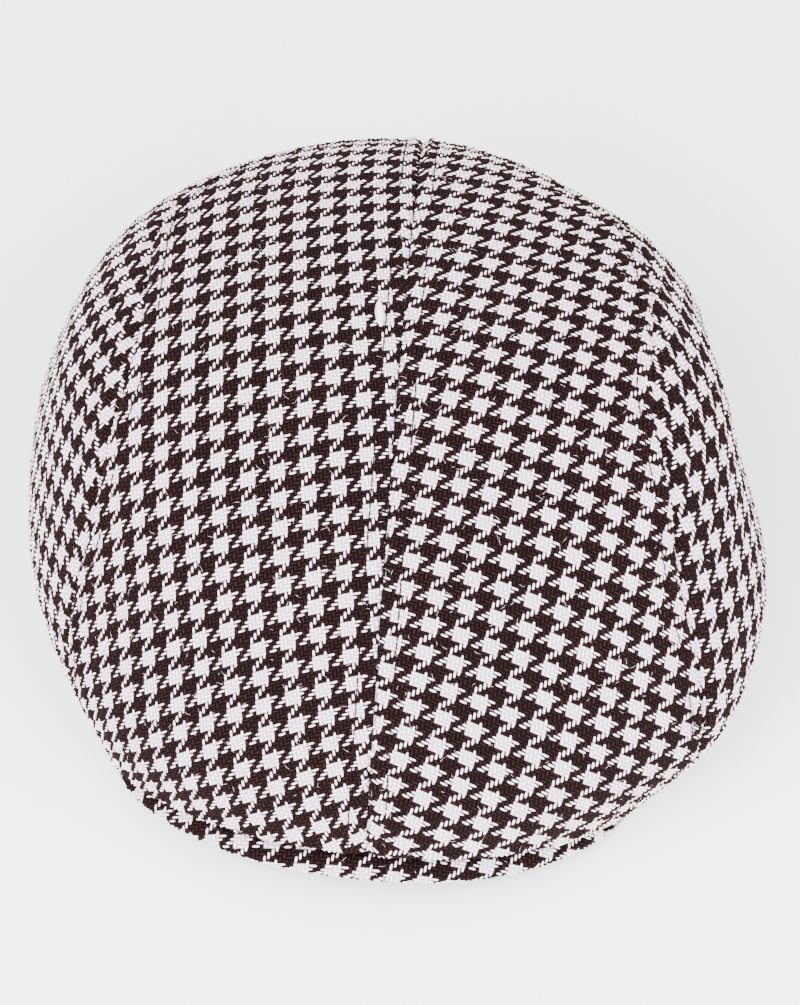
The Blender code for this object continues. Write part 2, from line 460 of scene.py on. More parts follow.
def meet_neighbours(node, skin):
    """Close the gap to each neighbour, and return the borders' edges by what they meet."""
    mesh = skin.data
    points = points_of(mesh)
    meets = {}
    edges = border_edges(mesh)
    for index in sorted({v for edge in edges for v in edge}):
        place = Vector(points[index])
        best = ("hem", TOUCH, None)
        for other in TOP_PANELS + SIDE_PANELS:
            if other == node:
                continue
            near, _, _, distance = node_trees[other].find_nearest(place)
            if distance < best[1]:
                best = (other, distance, near)
        meets[index] = best[0]
        if best[2] is not None:
            points[index] = (place + best[2]) / 2
    move_points(mesh, points)
    sides = {}
    for a, b in edges:
        sides.setdefault(meets[a], []).append((a, b))
        if meets[b] != meets[a]:
            sides.setdefault(meets[b], []).append((a, b))
    return sides


def distance_to(mesh, edges):
    """Each vertex's distance to a border, whose edges are sampled finely."""
    points = points_of(mesh)
    samples = []
    for a, b in edges:
        for k in range(SAMPLES_PER_EDGE):
            samples.append(points[a] + (points[b] - points[a]) * k / SAMPLES_PER_EDGE)
    tree = tree_of_places(samples)
    return np.array([tree.find(p)[2] for p in points])


borders = {node: meet_neighbours(node, skin) for node, skin in skins.items()}
for node, sides in borders.items():
    print(node, {k: len(v) for k, v in sides.items()})

# %% [markdown]
# ## How the cap has settled
#
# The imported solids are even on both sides. A soft cap never is, and the photograph shows how this one has
# settled some millimetres off that shape. One smooth field moves the panels and the peak together, so
# neighbours stay side by side. It is a low polynomial for the cap as a whole, a lean of its centre seam,
# and a table of soft dents and swells for single places. The crown also rises a little.

# %% The settled shape
HALF_WIDTH = 118.0 * MM
HALF_LENGTH = 123.0 * MM
HEIGHT = 114.0 * MM
# Millimetres that each product of x, y and z adds, with the place given in shares of the three sizes above
SIDEWAYS = {"y": -0.9, "z": -0.4, "xy": -5.0, "xz": -0.5, "xxy": -5.7, "yy": -1.3}
LENGTHWAYS = {"x": -2.6, "z": 2.0, "xz": -0.9, "yz": 0.5, "xy": -1.2}
UPWARDS = {"z": 1.6, "xz": -0.7, "yz": 0.7, "xyz": 0.6}
# The centre seam leans sideways, more at the front, and only above the peak
SEAM_LEAN = 2.1
SEAM_LEAN_AHEAD = -1.1
SEAM_LEAN_FALL = 7.0
PEAK_TOP = 0.10
PEAK_FADE = 0.10
# Each soft dent or swell: where it is, which way and how far the cloth goes, and how wide it is, in mm
DENTS = (
    ((113.0, 28.0, 50.0), (-8.0, 0.0, 0.0), 24.0),
    ((-117.0, 0.0, 40.0), (2.3, 0.0, 0.0), 30.0),
    ((99.0, -68.0, 21.0), (3.4, -2.6, 0.0), 20.0),
    ((-85.0, 59.0, 88.0), (-2.4, 1.0, 0.0), 18.0),
    ((-72.0, -88.0, 3.0), (-2.4, -1.6, 0.0), 18.0),
    ((71.0, 64.0, 92.0), (2.6, 1.4, 0.0), 12.0),
    ((89.0, 62.0, 72.0), (2.8, 0.4, 0.0), 13.0),
)


def products(table, shares):
    """The sum of a table's products, each named by the letters of what is multiplied."""
    return sum(amount * np.prod([shares[letter] for letter in name], axis=0)
               for name, amount in table.items())


def settle(mesh):
    """Move a mesh's points as the soft cap has settled. The hem stays on the surface it rests on."""
    points = points_of(mesh)
    shares = dict(zip("xyz", (points / (HALF_WIDTH, HALF_LENGTH, HEIGHT)).T))
    above_peak = np.clip((shares["z"] - PEAK_TOP) / PEAK_FADE, 0.0, 1.0)
    lean = (SEAM_LEAN + SEAM_LEAN_AHEAD * shares["y"]) * np.exp(-SEAM_LEAN_FALL * shares["x"] ** 2)
    moves = np.column_stack([products(SIDEWAYS, shares) + lean * above_peak, products(LENGTHWAYS, shares),
                             products(UPWARDS, shares)]) * MM
    for place, way, width in DENTS:
        distance = np.linalg.norm(points - np.array(place) * MM, axis=1) / (width * MM)
        moves += np.exp(-0.5 * distance ** 2)[:, None] * np.array(way) * MM
    move_points(mesh, points + moves)
    return np.linalg.norm(moves, axis=1).max()


for node, skin in skins.items():
    print(node, "settled by up to", round(settle(skin.data) * 1000, 1), "mm")

# %% [markdown]
# ## Laying the weave on the flat pieces
#
# The unwrapped map has no size of its own, so it is scaled until its edges are as long as the cloth's. Steam
# and the block have eased the cloth over the crown, so the top panels' threads run in slow curves: each count
# is a short polynomial in the place on the flat piece, fitted to where the checks fall in the photograph.
# The side panels are cut on the bias, and their counts stay linear.

# %% Flat pieces at their real size
def flat_piece(skin):
    """Each vertex's place on the flat piece, in metres."""
    mesh = skin.data
    flat = np.zeros((len(mesh.vertices), 2))
    flat[read(mesh.loops, "vertex_index", 1, int)[:, 0]] = read(mesh.uv_layers.active.uv, "vector", 2)
    a, b = read(mesh.edges, "vertices", 2, int).T
    points = points_of(mesh)
    real = np.linalg.norm(points[a] - points[b], axis=1)
    drawn = np.linalg.norm(flat[a] - flat[b], axis=1)
    return flat * real.sum() / drawn.sum()


def turned_to(flat, start, end, way):
    """Turn the flat piece so that the line from start to end points the given way, with start at zero."""
    line = flat[end] - flat[start]
    turn = math.atan2(way[1], way[0]) - math.atan2(line[1], line[0])
    c, s = math.cos(turn), math.sin(turn)
    return (flat - flat[start]) @ np.array([[c, s], [-s, c]])


# %% Thread numbers over the flat pieces
SEAM_FROM = 0.10
SEAM_TO = 0.55
EASE_UNIT = 100.0
# Warp and weft: a start, threads per millimetre along x and y, then what the squares and cubes of x and y,
# both counted in EASE_UNIT millimetres, add
GRAIN = {
    "top_panel_right": (
        (4.59, 0.8355, -0.0782, -1.12, 3.85, -5.03, 0.07, 1.22, -0.85, -0.03),
        (7.14, 0.2537, 0.9323, 13.17, -6.28, 2.03, 1.87, -0.13, -0.45, 0.03)),
    "top_panel_left": (
        (0.14, 0.8824, 0.1348, -0.29, 3.50, 2.12, 0.74, -0.92, -0.30, -0.02),
        (2.50, -0.3262, 0.9358, 15.34, 3.02, -0.15, 0.83, 2.85, -0.02, 0.08)),
    "side_panel_right": ((0.0, 0.799, -0.519), (0.0, 0.500, 0.689)),
    "side_panel_left": ((0.0, 0.490, -0.674), (0.0, 0.963, 0.491)),
}


def thread_numbers(node, flat):
    """Warp and weft numbers of places on a panel's flat piece."""
    x, y = flat.T / MM
    u, v = x / EASE_UNIT, y / EASE_UNIT
    terms = np.stack([np.ones_like(x), x, y, u * u, u * v, v * v, u ** 3, u * u * v, u * v * v, v ** 3])
    return np.column_stack([np.array(row) @ terms[:len(row)] for row in GRAIN[node]])


def flat_top(node, skin):
    """A top panel's flat piece, with the straight part of its centre seam upright."""
    points = points_of(skin.data)
    partner = TOP_PANELS[1 - TOP_PANELS.index(node)]
    seam = sorted({v for edge in borders[node][partner] for v in edge}, key=lambda v: points[v, 1])
    start, end = (seam[int(share * len(seam))] for share in (SEAM_FROM, SEAM_TO))
    flat = turned_to(flat_piece(skin), start, end, (0.0, 1.0))
    return flat - flat[seam[0]]


def flat_side(node, skin):
    """A side panel's flat piece, with the middle of its hem level."""
    points = points_of(skin.data)
    hem = sorted({v for edge in borders[node]["hem"] for v in edge}, key=lambda v: points[v, 1])
    side = 1.0 if node == "side_panel_right" else -1.0
    return turned_to(flat_piece(skin), hem[len(hem) // 4], hem[3 * len(hem) // 4], (side, 0.0))


flats = {}
weaves = {}
for node, skin in skins.items():
    flats[node] = (flat_top if node in TOP_PANELS else flat_side)(node, skin)
    weaves[node] = thread_numbers(node, flats[node])
    span = np.ptp(flats[node], axis=0)
    print(node, "cut from", [round(float(s) * 1000) for s in span], "mm of cloth")

# %% [markdown]
# ## Seams, stitching lines and soft unevenness
#
# A seam draws the cloth down into a crease. The line of stitching five millimetres beside it holds the
# turned edge flat, and the cloth between the two swells a little. Around both it puckers softly. Away from
# the seams the cloth is slightly uneven, as cloth is over nothing but a hollow.

# %% Relief of the sewn cloth
STITCH_LINE = 5.0 * MM
CREASE_DEPTH = 1.3 * MM
CREASE_WIDTH = 1.3 * MM
STITCH_DEPTH = 0.45 * MM
STITCH_WIDTH = 0.9 * MM
SWELL_HEIGHT = 0.25 * MM
SWELL_PLACE = 2.7 * MM
SWELL_WIDTH = 1.2 * MM
PUCKER_HEIGHT = 0.45 * MM
PUCKER_LENGTH = 7.0 * MM
PUCKER_REACH = 9.0 * MM
PUCKER_PATCH = 0.5
UNEVEN_HEIGHT = 0.7 * MM
UNEVEN_LENGTH = 45.0 * MM
HEM_ROUND = 1.6 * MM
HEM_SWELL = 0.7 * MM
HEM_SWELL_PLACE = 2.4 * MM
HEM_SWELL_WIDTH = 1.9 * MM


def bell(distance, middle, width):
    return np.exp(-((distance - middle) / width) ** 2)


def wave(points, length):
    return np.array([noise.noise(Vector(p) / length) for p in points])


def seam_relief(distance, stitched):
    relief = -CREASE_DEPTH * bell(distance, 0.0, CREASE_WIDTH)
    if stitched:
        relief -= STITCH_DEPTH * bell(distance, STITCH_LINE, STITCH_WIDTH)
        relief += SWELL_HEIGHT * bell(distance, SWELL_PLACE, SWELL_WIDTH)
    return relief


def panel_relief(node, skin):
    """Height of each vertex over the smooth panel, and its distance to each border."""
    points = points_of(skin.data)
    away = {what: distance_to(skin.data, edges) for what, edges in borders[node].items()}
    relief = UNEVEN_HEIGHT * wave(points, UNEVEN_LENGTH)
    puckers = wave(points + PUCKER_PATCH, PUCKER_LENGTH)
    for what, distance in away.items():
        if what == "hem":
            relief -= HEM_ROUND * np.clip(1.0 - distance / HEM_ROUND, 0.0, 1.0) ** 2
            if node in TOP_PANELS:
                relief += HEM_SWELL * bell(distance, HEM_SWELL_PLACE, HEM_SWELL_WIDTH)
            continue
        stitched = node in TOP_PANELS or what in SIDE_PANELS
        relief += seam_relief(distance, stitched)
        relief += PUCKER_HEIGHT * puckers * np.exp(-distance / PUCKER_REACH)
    return relief, away


seam_distances = {}
for node, skin in skins.items():
    relief, seam_distances[node] = panel_relief(node, skin)
    move_points(skin.data, points_of(skin.data) + relief[:, None] * normals_of(skin.data))
    print(node, "relief from", round(relief.min() * 1000, 2), "to", round(relief.max() * 1000, 2), "mm")

# %% [markdown]
# ## From skin to cloth
#
# A skin has no thickness, so Solidify grows the wall inwards. The side panels' lower edge is turned in and
# doubled, so the wall is twice as thick for the width of the turning.

# %% Walls and maps
MAP_SHARE = 0.98
MAP_EDGE = 0.01
CLOTH = 1.7 * MM
TURNED_HEM = 3.6 * MM
HEM_WIDTH = 12.0 * MM
THREAD_BED = 0.30 * MM


def give_maps(piece, flat, weave):
    """A map of the flat piece in the unit square, and one that counts threads."""
    mesh = piece.data
    low = flat.min(axis=0)
    unit = (flat - low) / np.ptp(flat, axis=0).max() * MAP_SHARE + MAP_EDGE
    while mesh.uv_layers:
        mesh.uv_layers.remove(mesh.uv_layers[0])
    add_maps(mesh, OFBake=unit, weave=weave)


def sew_wall(node, skin):
    alone(skin)
    move_points(skin.data, points_of(skin.data) - THREAD_BED * normals_of(skin.data))
    wall = skin.modifiers.new("wall", "SOLIDIFY")
    wall.thickness = CLOTH
    wall.offset = -1.0
    wall.thickness_clamp = 1.0
    if node in SIDE_PANELS:
        turned = skin.vertex_groups.new(name="turned_hem")
        for index, away in enumerate(seam_distances[node]["hem"]):
            turned.add([index], 1.0 if away < HEM_WIDTH else CLOTH / TURNED_HEM, "REPLACE")
        wall.thickness = TURNED_HEM
        wall.vertex_group = turned.name
    bpy.ops.object.modifier_apply(modifier=wall.name)
    skin.vertex_groups.clear()


skin_meshes = {node: skin.data.copy() for node, skin in skins.items()}
for node, skin in skins.items():
    give_maps(skin, flats[node], weaves[node])
    sew_wall(node, skin)
    skin.data.materials.append(TWEED)
    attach(skin, "root")
    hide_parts(node)
    print(skin.name, "has", len(skin.data.polygons), "faces")

# %% [markdown]
# ## Threads laid on the cloth
#
# From a hand's width away tweed is plainly made of threads, each float a short rounded dash with a dark gap
# round it. So every float on the outside is its own small closed body. It is drawn on the flat piece as a
# nearly straight dash over two threads, and each of its points is then looked up on the sewn cloth. Its ends
# dive between the neighbours, as they do in the loom. Near a seam the threads lie less evenly.

# %% Looking up places on the sewn cloth
SMALLEST_PATCH = 1e-4
ON_CLOTH = 1e-4
SMALLEST_WEIGHT = 1e-9


def triangles_of(mesh):
    mesh.calc_loop_triangles()
    return read(mesh.loop_triangles, "vertices", 3, int)


class Cloth:
    """A skin whose places can be looked up by thread numbers. unrest is how disturbed each place is."""

    def __init__(self, mesh, weave, unrest, keep=None):
        self.points = points_of(mesh)
        self.normals = normals_of(mesh)
        self.weave = weave
        self.unrest = unrest
        triangles = triangles_of(mesh)
        corners = weave[triangles]
        fair = np.abs(np.linalg.det(corners[:, 1:] - corners[:, :1])) > SMALLEST_PATCH
        self.triangles = triangles[fair & (True if keep is None else keep(corners))]
        flat = [Vector((x, y, 0.0)) for x, y in weave]
        self.tree = BVHTree.FromPolygons(flat, [tuple(int(v) for v in t) for t in self.triangles])
        self.ways = self.thread_ways()

    def thread_ways(self):
        """How far one warp and one weft thread reach in space, at each vertex."""
        a, b, c = self.triangles.T
        plan = np.stack([self.weave[b] - self.weave[a], self.weave[c] - self.weave[a]], axis=1)
        real = np.stack([self.points[b] - self.points[a], self.points[c] - self.points[a]], axis=1)
        ways = np.linalg.solve(plan, real)
        size = np.abs(np.linalg.det(plan))[:, None, None]
        total = np.zeros((len(self.points), 2, 3))
        weight = np.zeros((len(self.points), 1, 1))
        for corner in (a, b, c):
            np.add.at(total, corner, ways * size)
            np.add.at(weight, corner, size)
        return total / np.maximum(weight, SMALLEST_WEIGHT)

    def look_up(self, places):
        """Which triangle each place falls in, its three weights, and how far outside the cloth it is."""
        count = len(places)
        index = np.zeros(count, int)
        found = np.zeros((count, 2))
        miss = np.zeros(count)
        for k, (x, y) in enumerate(places):
            near, _, face, distance = self.tree.find_nearest((x, y, 0.0))
            index[k] = face
            found[k] = near.x, near.y
            miss[k] = distance
        corners = self.triangles[index]
        a, b, c = (self.weave[corners[:, k]] for k in range(3))
        edges = np.stack([b - a, c - a], axis=2)
        part = np.linalg.solve(edges, (found - a)[..., None])[..., 0]
        weights = np.column_stack([1.0 - part.sum(axis=1), part])
        return corners, weights, miss

    def blend(self, values, corners, weights):
        shape = weights.shape + (1,) * (values.ndim - 1)
        return (values[corners] * weights.reshape(shape)).sum(axis=1)


UNREST_REACH = 3.0 * MM


def unrest_near(node):
    """1 on a seam, and less and less away from it."""
    away = [distance for what, distance in seam_distances[node].items() if what != "hem"]
    return np.exp(-np.min(away, axis=0) / UNREST_REACH)


cloths = {node: Cloth(skin_meshes[node], weaves[node], unrest_near(node)) for node in skins}
print({node: len(cloth.triangles) for node, cloth in cloths.items()})

# %% One float of thread
# Reach, half width, crown and sways are counted in threads
FLOAT_REACH = 1.14
THREAD_HALF_WIDTH = 0.30
END_TAPER = 0.45
THREAD_CROWN = 0.20
THREAD_RISE = 0.42 * MM
THREAD_SINK = 0.34 * MM
END_SINK = 0.30 * MM
STATIONS = (-1.0, 0.0, 1.0)
SWAY = 0.045
UNREST_SWAY = 0.16
WIDTH_SPREAD = 0.06
RISE_SPREAD = 0.12


def floats_over(weave):
    """Every float whose middle lies in the cloth's range: middle, direction, and thread number."""
    low = np.floor(weave.min(axis=0)).astype(int) - 1
    high = np.ceil(weave.max(axis=0)).astype(int) + 2
    warp, weft = np.meshgrid(np.arange(low[0], high[0]), np.arange(low[1], high[1]), indexing="ij")
    warp = warp.ravel()
    weft = weft.ravel()
    step = (warp + 1 - weft) % TWILL
    up = step == 1
    over = step == 2
    middles = np.concatenate([
        np.column_stack([warp[up] + 0.5, weft[up] + 1.0]),
        np.column_stack([warp[over] + 1.0, weft[over] + 0.5]),
    ])
    runs_up = np.concatenate([np.ones(up.sum(), bool), np.zeros(over.sum(), bool)])
    number = np.concatenate([warp[up], weft[over]])
    return middles, runs_up, number


def body_faces(stations, count):
    """Quads of closed bodies, each a chain of rings of four points."""
    faces = []
    for k in range(stations - 1):
        for r in range(4):
            n = (r + 1) % 4
            faces.append((k * 4 + r, k * 4 + n, k * 4 + 4 + n, k * 4 + 4 + r))
    last = (stations - 1) * 4
    faces.append((3, 2, 1, 0))
    faces.append((last, last + 1, last + 2, last + 3))
    return (np.array(faces)[None] + np.arange(count)[:, None, None] * stations * 4).reshape(-1, 4)


def lay_threads(cloth, upward, generator):
    """Points of one cloth's floats that run up it, or across it, with each one's place, number and shade."""
    middles, runs_up, number = floats_over(cloth.weave)
    inside = (cloth.look_up(middles)[2] < ON_CLOTH) & (runs_up == upward)
    middles, runs_up, number = middles[inside], runs_up[inside], number[inside]
    count = len(middles)
    along = np.where(runs_up[:, None], (0.0, 1.0), (1.0, 0.0))
    corners, weights, _ = cloth.look_up(middles)
    unrest = cloth.blend(cloth.unrest, corners, weights)[:, None]
    sway = generator.normal(0.0, 1.0, (count, 1)) * (SWAY + UNREST_SWAY * unrest)
    bow = generator.normal(0.0, 1.0, (count, 1)) * (SWAY + UNREST_SWAY * unrest)
    rings = []
    for share in STATIONS:
        off_line = sway * share + bow * (1 - abs(share))
        places = middles + along * share * FLOAT_REACH + along[:, ::-1] * off_line
        corners, weights, _ = cloth.look_up(places)
        point = cloth.blend(cloth.points, corners, weights)
        normal = unit_rows(cloth.blend(cloth.normals, corners, weights))
        ways = cloth.blend(cloth.ways, corners, weights)
        across = np.where(runs_up[:, None], ways[:, 0], -ways[:, 1])
        end = share != 0.0
        taper = END_TAPER if end else 1.0
        wide = THREAD_HALF_WIDTH * taper * generator.normal(1.0, WIDTH_SPREAD, (count, 1))
        crown = THREAD_CROWN * taper
        rise = -END_SINK if end else THREAD_RISE
        rise = rise * generator.normal(1.0, RISE_SPREAD, (count, 1)) - THREAD_BED
        foot = -THREAD_SINK - THREAD_BED - (END_SINK if end else 0.0)
        rings.append(np.stack([
            point - across * wide + normal * foot,
            point - across * crown + normal * rise,
            point + across * crown + normal * rise,
            point + across * wide + normal * foot,
        ], axis=1))
    points = np.stack(rings, axis=1).reshape(-1, 3)
    dark = (number % REPEAT) >= HALF_REPEAT
    return points, middles, runs_up, number, dark


def mesh_of(name, points, faces):
    """A mesh made from arrays of points and quads."""
    mesh = bpy.data.meshes.new(name)
    mesh.vertices.add(len(points))
    mesh.vertices.foreach_set("co", points.ravel())
    mesh.loops.add(faces.size)
    mesh.loops.foreach_set("vertex_index", faces.ravel().astype(np.int32))
    mesh.polygons.add(len(faces))
    mesh.polygons.foreach_set("loop_start", np.arange(0, faces.size, 4, dtype=np.int32))
    mesh.update(calc_edges=True)
    mesh.shade_smooth()
    return mesh


# %% Wool for the raised threads
def thread_wool():
    material, shader, maker = new_material("tweed_threads")
    dress_wool(shader)
    dark = maker.node("ShaderNodeAttribute", dict(attribute_name="brown_thread"), out=2)
    tint = maker.node("ShaderNodeAttribute", dict(attribute_name="thread_tint"), out=2)
    strand = maker.node("ShaderNodeUVMap", dict(uv_map="strand"))
    twist = maker.node("ShaderNodeTexNoise", i0=strand, Scale=5.0, Detail=2.0)
    pale = tint.colour(PALE_WOOL, CREAM_WOOL)
    brown = tint.colour(BROWN_WOOL, RED_BROWN_WOOL)
    plug(dark.colour(pale, brown), shader, "Base Color")
    bumped = maker.node("ShaderNodeBump", Strength=0.5, Distance=0.0002, Height=twist)
    plug(bumped, shader, "Normal")
    return material


THREAD_WOOL = thread_wool()


def piece_of_bodies(name, points, stations, dark, tint, unit, strand):
    """One object from many small closed bodies, with each body's shade and its maps."""
    count = len(points) // (stations * RING)
    mesh = mesh_of(name, points, body_faces(stations, count))
    piece = bpy.data.objects.new(name, mesh)
    bpy.context.scene.collection.objects.link(piece)
    for what, values in (("brown_thread", dark.astype(float)), ("thread_tint", tint)):
        held = mesh.attributes.new(what, "FLOAT", "POINT")
        held.data.foreach_set("value", np.repeat(values, stations * RING))
    add_maps(mesh, OFBake=unit, strand=strand)
    mesh.materials.append(THREAD_WOOL)
    return piece


BODIES_SHARE = 0.97
BODIES_EDGE = 0.015
# A thread's number is scrambled into its tint by a sine, whose last digits are as good as chance
SCRAMBLE_STEP = 12.9898
SCRAMBLE_TURN = 4.1
SCRAMBLE_SIZE = 43758.5453
TINT_BY_THREAD = 0.75
RING_PLACES = np.array((-1.0, -0.4, 0.4, 1.0))
# The strand map carries the twist's bump, and only has to differ from body to body
STRAND_BY_NUMBER = 0.37
STRAND_BY_BODY = 0.11
STRAND_LENGTH = 0.35


def in_unit_square(plan, low, size):
    return (plan - low) / size * BODIES_SHARE + BODIES_EDGE


def thread_piece(name, cloth, upward, generator):
    points, middles, runs_up, number, dark = lay_threads(cloth, upward, generator)
    each = len(STATIONS) * RING
    by_thread = np.sin(number * SCRAMBLE_STEP + runs_up * SCRAMBLE_TURN) * SCRAMBLE_SIZE % 1.0
    by_chance = generator.random(len(middles))
    tint = np.clip(TINT_BY_THREAD * by_thread ** 2 + (1.0 - TINT_BY_THREAD) * by_chance, 0.0, 1.0)
    index = np.arange(len(points))
    whose = index // each
    along = np.array(STATIONS)[(index % each) // RING] * FLOAT_REACH
    across = RING_PLACES[index % RING] * THREAD_HALF_WIDTH
    up = runs_up[whose][:, None]
    plan = middles[whose] + np.where(up, np.column_stack([across, along]), np.column_stack([along, -across]))
    unit = in_unit_square(plan, cloth.weave.min(axis=0), np.ptp(cloth.weave, axis=0).max())
    strand = np.column_stack([across + number[whose] * STRAND_BY_NUMBER,
                              along * STRAND_LENGTH + whose * STRAND_BY_BODY])
    return piece_of_bodies(name, points, len(STATIONS), dark, tint, unit, strand)


# %% [markdown]
# ## The peak
#
# A stiff crescent of board is covered in the same cloth and sewn under the front hem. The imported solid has
# the board's shape already: here its edge is rounded by subdivision. The distance to the rim, above it or
# below, says where each place lies on the cloth, whose threads run straight on while the rim turns. Under the
# crown's hem the top sinks a little, which leaves the thin dark line that the photograph shows there.

# %% The distance over the rim
# One thread's width across the peak and towards its rim, and the thread numbers at the rim's middle
PEAK_COLUMN = 8.6 * MM / REPEAT
PEAK_ROW = 8.2 * MM / REPEAT
PEAK_START = (1.2, 0.5)
RIM_RADIUS = 110.0 * MM
RIM_STEP = 0.1 * MM
UNDER_CROWN = 22.0 * MM
WIDEST_PATCH = 4.0
HEM_GAP_FROM = 5.5 * MM
HEM_GAP_WIDTH = 2.5 * MM
HEM_GAP_DEPTH = 2.8 * MM


def rim_line(points):
    """The rim from corner to corner, finely sampled, and the way along it from its middle."""
    hull = points[geometry.convex_hull_2d([(p[0], p[1]) for p in points])]
    middle = points[:, 1].max()
    hull = hull[np.argsort(np.arctan2(hull[:, 0], middle - hull[:, 1]))]
    at = np.arange(0.0, walk(hull)[-1], RIM_STEP)
    line = along_line(hull, at)
    return line, at - np.interp(0.0, line[:, 0], at)


def over_the_rim(mesh):
    """Each vertex's place on the flat cloth: along the rim, and away from it, less than zero underneath."""
    points = points_of(mesh)
    line, walked = rim_line(points)
    tree = tree_of_places(line)
    found = [tree.find(p) for p in points]
    above = np.where(normals_of(mesh)[:, 2] >= 0.0, 1.0, -1.0)
    return np.array([(walked[k], side * distance) for (_, k, distance), side in zip(found, above)])


def straight_cloth(flat):
    """Thread numbers for places along and away from the round rim, on cloth whose threads run straight."""
    turn = flat[:, 0] / RIM_RADIUS
    reach = RIM_RADIUS - flat[:, 1]
    places = np.column_stack([reach * np.sin(turn), RIM_RADIUS - reach * np.cos(turn)])
    return places / (PEAK_COLUMN, PEAK_ROW) + PEAK_START


peak = copy_of_node("peak", "peak_cloth")
bpy.ops.object.mode_set(mode="EDIT")
bpy.ops.mesh.tris_convert_to_quads()
bpy.ops.object.mode_set(mode="OBJECT")
smooth_skin(peak)
peak_flat = over_the_rim(peak.data)
settle(peak.data)
into_gap = np.clip((peak_flat[:, 1] - HEM_GAP_FROM) / HEM_GAP_WIDTH, 0.0, 1.0)
sunk = HEM_GAP_DEPTH * into_gap ** 2 * (3.0 - 2.0 * into_gap)
move_points(peak.data, points_of(peak.data) - sunk[:, None] * normals_of(peak.data))
peak_weave = straight_cloth(peak_flat)
peak_skin = peak.data.copy()
give_maps(peak, peak_flat, peak_weave)
move_points(peak.data, points_of(peak.data) - THREAD_BED * normals_of(peak.data))
peak.data.materials.append(TWEED)
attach(peak, "root")
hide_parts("peak")
rim_length = np.ptp(peak_flat[:, 0])
print("peak has", len(peak.data.polygons), "faces, its rim is", round(rim_length * 1000), "mm long")


def shows_on_peak(corners):
    """The part of the peak's cloth that isn't under the crown, without the wall inside the cap."""
    small = np.ptp(corners, axis=1).max(axis=1) < WIDEST_PATCH
    places = (corners - PEAK_START) * (PEAK_COLUMN, PEAK_ROW)
    away = RIM_RADIUS - np.hypot(places[..., 0], RIM_RADIUS - places[..., 1])
    return small & (away.max(axis=1) < UNDER_CROWN)


cloths["peak"] = Cloth(peak_skin, peak_weave, np.zeros(len(peak_weave)), shows_on_peak)

# %% Threads on the panels and the peak
THREAD_SEED = 31
generator = np.random.default_rng(THREAD_SEED)
for node in TOP_PANELS + SIDE_PANELS + ("peak",):
    for kind, upward in (("_warp", True), ("_weft", False)):
        threads = thread_piece(node + kind, cloths[node], upward, generator)
        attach(threads, "root")
        print(threads.name, "has", len(threads.data.polygons) * 2, "triangles")

# %% [markdown]
# ## Sewing thread
#
# Each seam is held by a line of brown stitches five millimetres beside it, in the groove that the relief
# already has. A stitch is a short closed tube that comes out of the cloth, lies on it and goes in again. A
# loose pale thread lies along the right end of the front hem.

# %% Lines beside the seams
PATH_STEP = 1.0 * MM
TANGENT_REACH = 6


def beside_seam(node, partner, away):
    """Places on a panel's flat piece in a line beside one of its seams, evenly spaced."""
    flat = flats[node]
    seam = flat[sorted({v for edge in borders[node][partner] for v in edge}, key=lambda v: flat[v, 1])]
    line = along_line(seam, np.arange(0.0, walk(seam)[-1], PATH_STEP))
    ahead = line[np.minimum(np.arange(len(line)) + TANGENT_REACH, len(line) - 1)]
    behind = line[np.maximum(np.arange(len(line)) - TANGENT_REACH, 0)]
    tangent = unit_rows(ahead - behind)
    square = np.column_stack([-tangent[:, 1], tangent[:, 0]])
    inward = flat.mean(axis=0) - line.mean(axis=0)
    if (square.mean(axis=0) * inward).sum() < 0:
        square = -square
    return line + square * away


# %% Tubes that follow the cloth
SHORTEST = 1e-12
STRAND_ROUND = 0.5
STRAND_SHIFT = 0.3


def on_cloth(cloth, numbers):
    """Point and normal on a cloth at each place, and how far outside the cloth the place is."""
    corners, weights, miss = cloth.look_up(numbers.reshape(-1, 2))
    normal = unit_rows(cloth.blend(cloth.normals, corners, weights))
    points = cloth.blend(cloth.points, corners, weights)
    shape = numbers.shape[:-1]
    return points.reshape(shape + (3,)), normal.reshape(shape + (3,)), miss.reshape(shape)


def tubes(points, normals, half_widths, flatness=1.0):
    """Rings of four points round many short paths of the same number of stations."""
    tangent = np.gradient(points, axis=1)
    across = np.cross(tangent, normals)
    across /= np.maximum(np.linalg.norm(across, axis=2, keepdims=True), SHORTEST)
    wide = np.broadcast_to(half_widths, points.shape[:2])[..., None]
    high = normals * wide * flatness
    return np.stack([points + across * wide, points - high, points - across * wide, points + high],
                    axis=2).reshape(-1, 3)


def strand_piece(name, points, stations, dark, tint):
    """One object from tubes, on the root body, in the threads' wool."""
    low = points[:, :2].min(axis=0)
    unit = in_unit_square(points[:, :2], low, np.ptp(points[:, :2], axis=0).max())
    index = np.arange(len(points))
    around = index % RING * STRAND_ROUND + index // (stations * RING) * STRAND_SHIFT
    strand = np.column_stack([around, (index // RING) % stations])
    piece = piece_of_bodies(name, points, stations, dark, tint, unit, strand)
    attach(piece, "root")
    print(name, "has", len(piece.data.polygons) * 2, "triangles")


